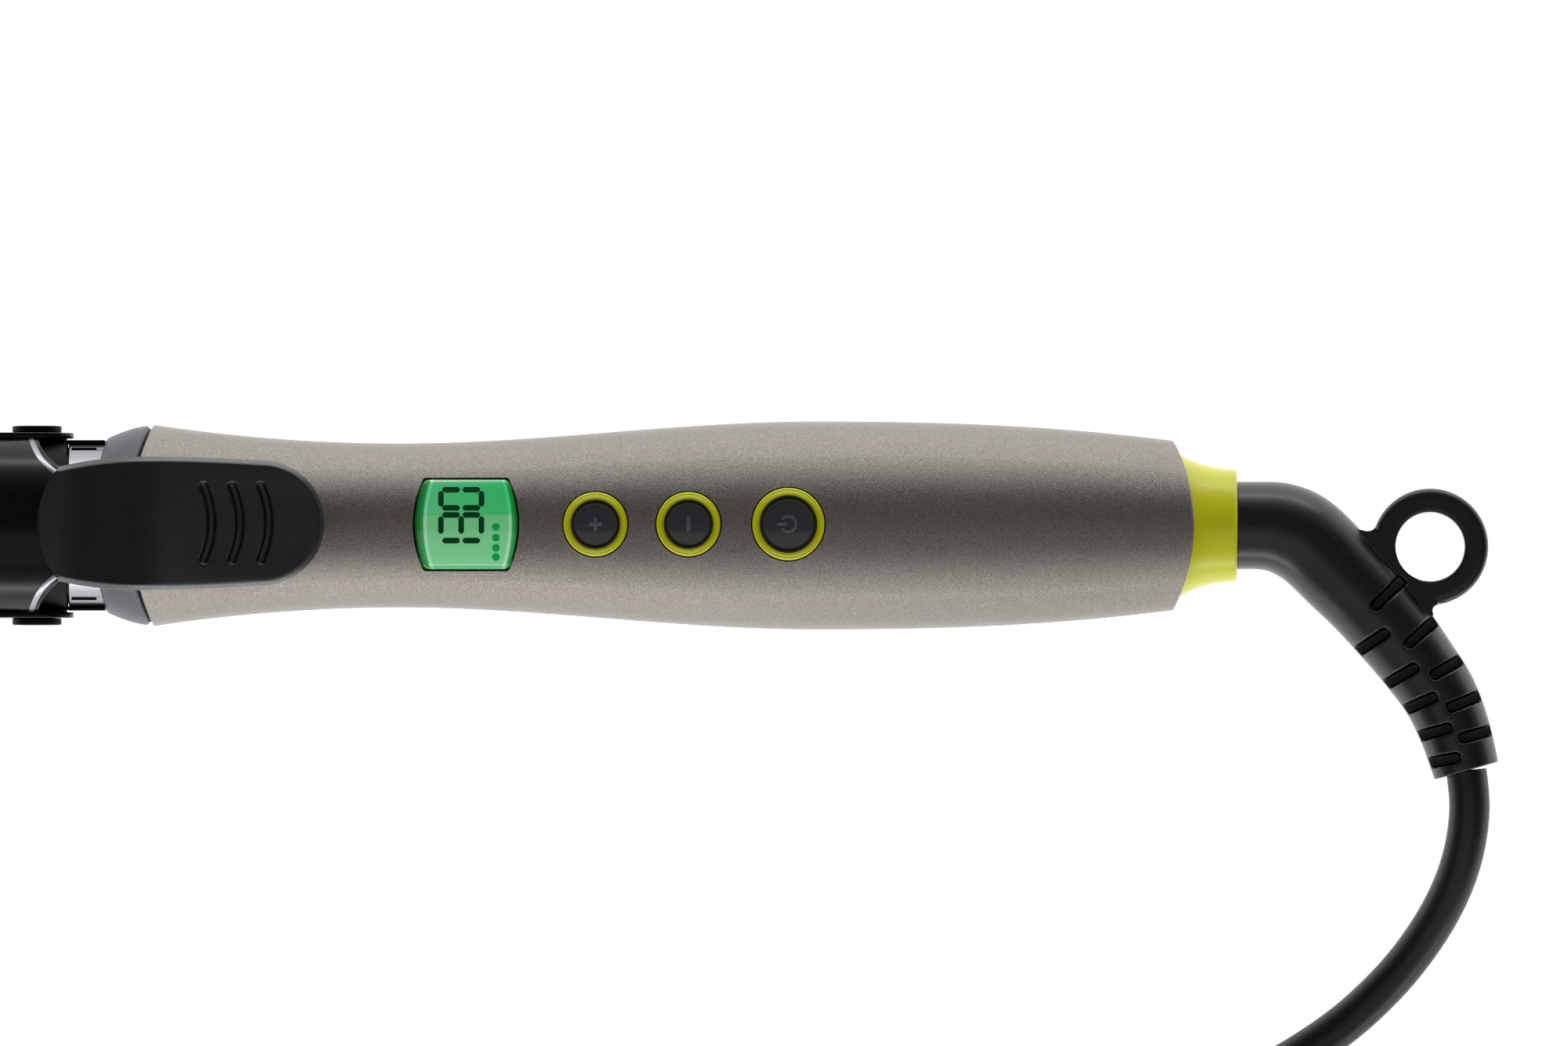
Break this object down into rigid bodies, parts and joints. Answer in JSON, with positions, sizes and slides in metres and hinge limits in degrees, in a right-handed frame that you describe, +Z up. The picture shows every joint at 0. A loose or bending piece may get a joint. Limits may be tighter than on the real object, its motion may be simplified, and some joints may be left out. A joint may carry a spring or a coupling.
{
  "type": "curling iron",
  "caption": "Hand-held curling iron with a round heated barrel, sprung clamp and thumb lever, display, push buttons, folding stand and a swivelling mains cord.",
  "frame": {"origin": "centre of the folded stand's foot, on the table the iron lies on", "axes": "+X along the iron's axis towards the cord end, +Z up through the buttons, +Y to the left when looking along +X"},
  "size_m": [0.391, 0.2206, 0.0445],
  "materials": {
    "taupe_paint": "satin metallic flake",
    "grey_collar": "satin",
    "lime_plastic": "gloss",
    "black_satin": "satin",
    "black_gloss": "gloss",
    "black_coating": "glossy ceramic coating",
    "bright_steel": "brushed",
    "spring_steel": "bright",
    "screw_steel": "plated",
    "heater_aluminium": "extruded",
    "ceramic_heater": "matt",
    "film": "translucent film",
    "mica": "matt",
    "sensor_glass": "gloss",
    "fuse_case": "bare",
    "lead_insulation": "satin",
    "board_laminate": "solder mask",
    "switch_black": "matt",
    "capacitor_case": "gloss",
    "chip_epoxy": "matt",
    "backlight_diffuser": "translucent",
    "display_green": "lit display",
    "display_lens": "clear green lens",
    "socket_white": "matt",
    "contact_brass": "polished",
    "cord_rubber": "satin jacket",
    "tie_black": "ribbed",
    "plug_black": "satin",
    "pin_nickel": "nickel plated"
  },
  "bodies": {
    "handle": {"handle_top_shell": "taupe_paint", "handle_bottom_shell": "taupe_paint", "shell_screws": "screw_steel", "front_collar": "grey_collar", "neck_sleeve": "bright_steel", "hinge_collar": "black_satin", "clamp_rivets": "black_gloss", "barrel_tube": "black_coating", "barrel_tip": "black_satin", "heater_block_upper": "heater_aluminium", "heater_block_lower": "heater_aluminium", "ptc_stack": "ceramic_heater", "insulating_film": "film", "lead_support_ring": "mica", "thermistor": "sensor_glass", "thermal_fuse": "fuse_case", "heater_leads": "lead_insulation", "supply_leads": "lead_insulation", "circuit_board": "board_laminate", "tact_switches": "switch_black", "film_capacitor": "capacitor_case", "triac": "chip_epoxy", "lcd_backlight": "backlight_diffuser", "lcd_panel": "display_green", "lcd_window": "display_lens", "plus_ring": "lime_plastic", "minus_ring": "lime_plastic", "power_ring": "lime_plastic", "rear_collar": "lime_plastic", "swivel_socket": "socket_white", "swivel_contacts": "contact_brass", "clamp_spring": "spring_steel", "stand_pin": "screw_steel"},
    "clamp": {"clamp_plate": "black_coating", "thumb_lever": "black_satin", "lever_screws": "screw_steel"},
    "stand": {"stand_leg": "black_satin"},
    "plus_key": {"plus_button": "black_gloss"},
    "minus_key": {"minus_button": "black_gloss"},
    "power_key": {"power_button": "black_gloss"},
    "swivel": {"swivel_elbow": "black_satin", "slip_rings": "contact_brass", "cord_lead": "cord_rubber", "cord_coil": "cord_rubber", "cord_tail": "cord_rubber", "cord_tie": "tie_black", "plug_body": "plug_black", "plug_pins": "pin_nickel"}
  },
  "joints": [
    {"name": "clamp_hinge", "type": "hinge", "parent": "handle", "child": "clamp", "pos_m": [0.027, 0, 0.0166], "axis": [0, 1, 0], "range_deg": [0, 10], "stiffness_Nm_per_rad": 0.8, "springref_deg": -6.88, "deforming": ["clamp_spring"]},
    {"name": "stand_hinge", "type": "hinge", "parent": "handle", "child": "stand", "pos_m": [0.028, 0, 0.00215], "axis": [0, -1, 0], "range_deg": [0, 100]},
    {"name": "cord_swivel", "type": "hinge", "parent": "handle", "child": "swivel", "pos_m": [0.2183, 0, 0.0166], "axis": [1, 0, 0], "continuous": true},
    {"name": "plus_press", "type": "slide", "parent": "handle", "child": "plus_key", "axis": [0, 0, -1], "range_m": [0, 0.0005], "stiffness_N_per_m": 1500},
    {"name": "minus_press", "type": "slide", "parent": "handle", "child": "minus_key", "axis": [0, 0, -1], "range_m": [0, 0.0005], "stiffness_N_per_m": 1500},
    {"name": "power_press", "type": "slide", "parent": "handle", "child": "power_key", "axis": [0, 0, -1], "range_m": [0, 0.0005], "stiffness_N_per_m": 1500}
  ]
}
